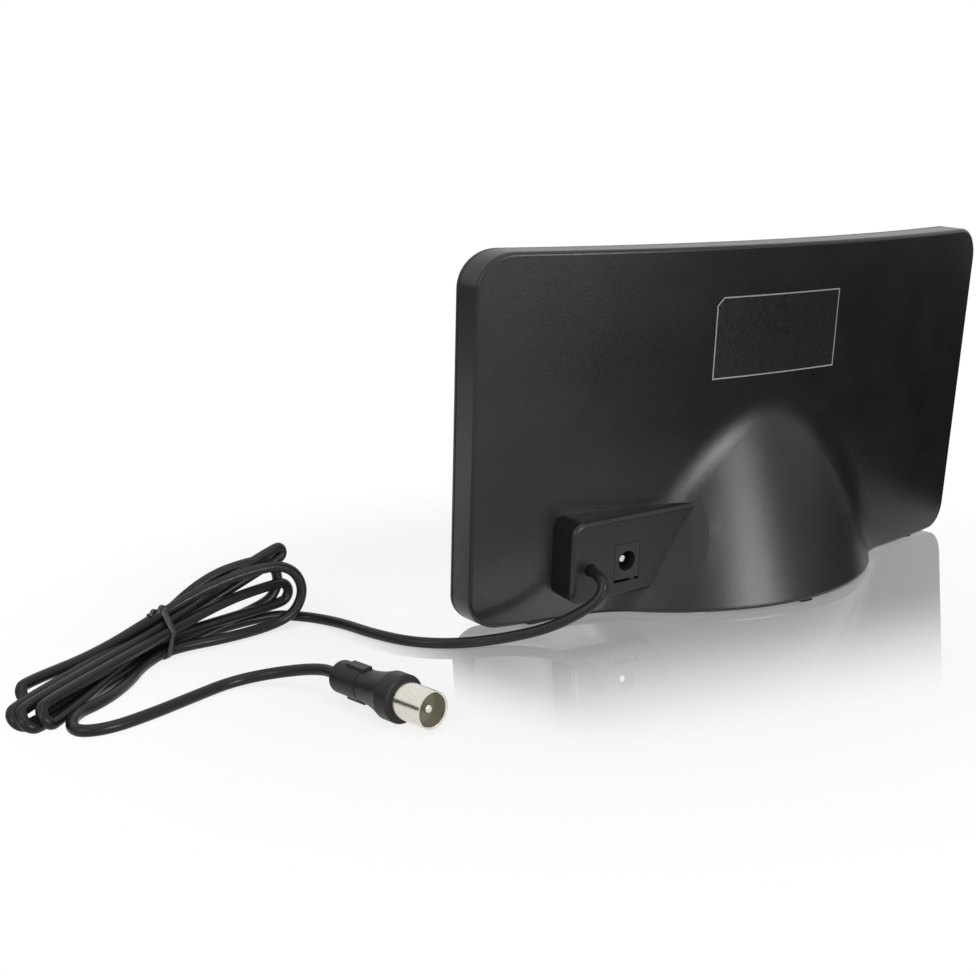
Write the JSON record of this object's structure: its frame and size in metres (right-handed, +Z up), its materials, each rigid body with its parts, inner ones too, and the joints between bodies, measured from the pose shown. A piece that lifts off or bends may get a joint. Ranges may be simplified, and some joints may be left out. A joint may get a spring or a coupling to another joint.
{
  "type": "indoor tv antenna",
  "caption": "Curved leaning panel antenna with a bell-shaped stand blended into its rear cover, a raised connector block with a DC socket, and a tied coaxial lead with a TV plug.",
  "frame": {"origin": "on the table, at the middle of the antenna's box without its lead, under the panel where the bell stand joins it", "axes": "+X to the side that carries the connector block, +Y to the rear where the bell stands, +Z up"},
  "size_m": [0.3417, 0.1072, 0.1112],
  "materials": {
    "shell": "satin black, fine moulded texture",
    "screw_steel": "zinc plated",
    "pad_rubber": "soft matt",
    "tinned_sheet": "tinned sheet",
    "feed_wire": "wire insulation",
    "board": "printed board",
    "jack_plastic": "plain moulded black",
    "nickel": "nickel plated",
    "cord_sheath": "smooth soft sheath",
    "label_film": "satin film with a thin pale outline",
    "tie_film": "film over wire",
    "plug_plastic": "moulded soft plastic",
    "insulator": "moulded"
  },
  "bodies": {
    "root": {"rear_cover": "shell", "front_cover": "shell", "base_plate": "shell", "base_screws": "screw_steel", "foot_pad_rear": "pad_rubber", "foot_pad_left": "pad_rubber", "foot_pad_right": "pad_rubber", "element_left": "tinned_sheet", "element_right": "tinned_sheet", "feed_lead_left": "feed_wire", "feed_lead_right": "feed_wire", "amplifier_board": "board", "board_screws": "screw_steel", "shield_can": "tinned_sheet", "dc_jack_body": "jack_plastic", "dc_jack_pin": "nickel", "dc_jack_contact": "nickel", "coax_inner": "cord_sheath", "cable_clip": "jack_plastic", "blank_label": "label_film", "coax_lead": "cord_sheath", "coax_hank": "cord_sheath", "coax_tail": "cord_sheath", "twist_tie": "tie_film", "plug_body": "plug_plastic", "plug_sleeve": "nickel", "plug_insulator": "insulator", "plug_pin": "nickel"}
  },
  "joints": []
}
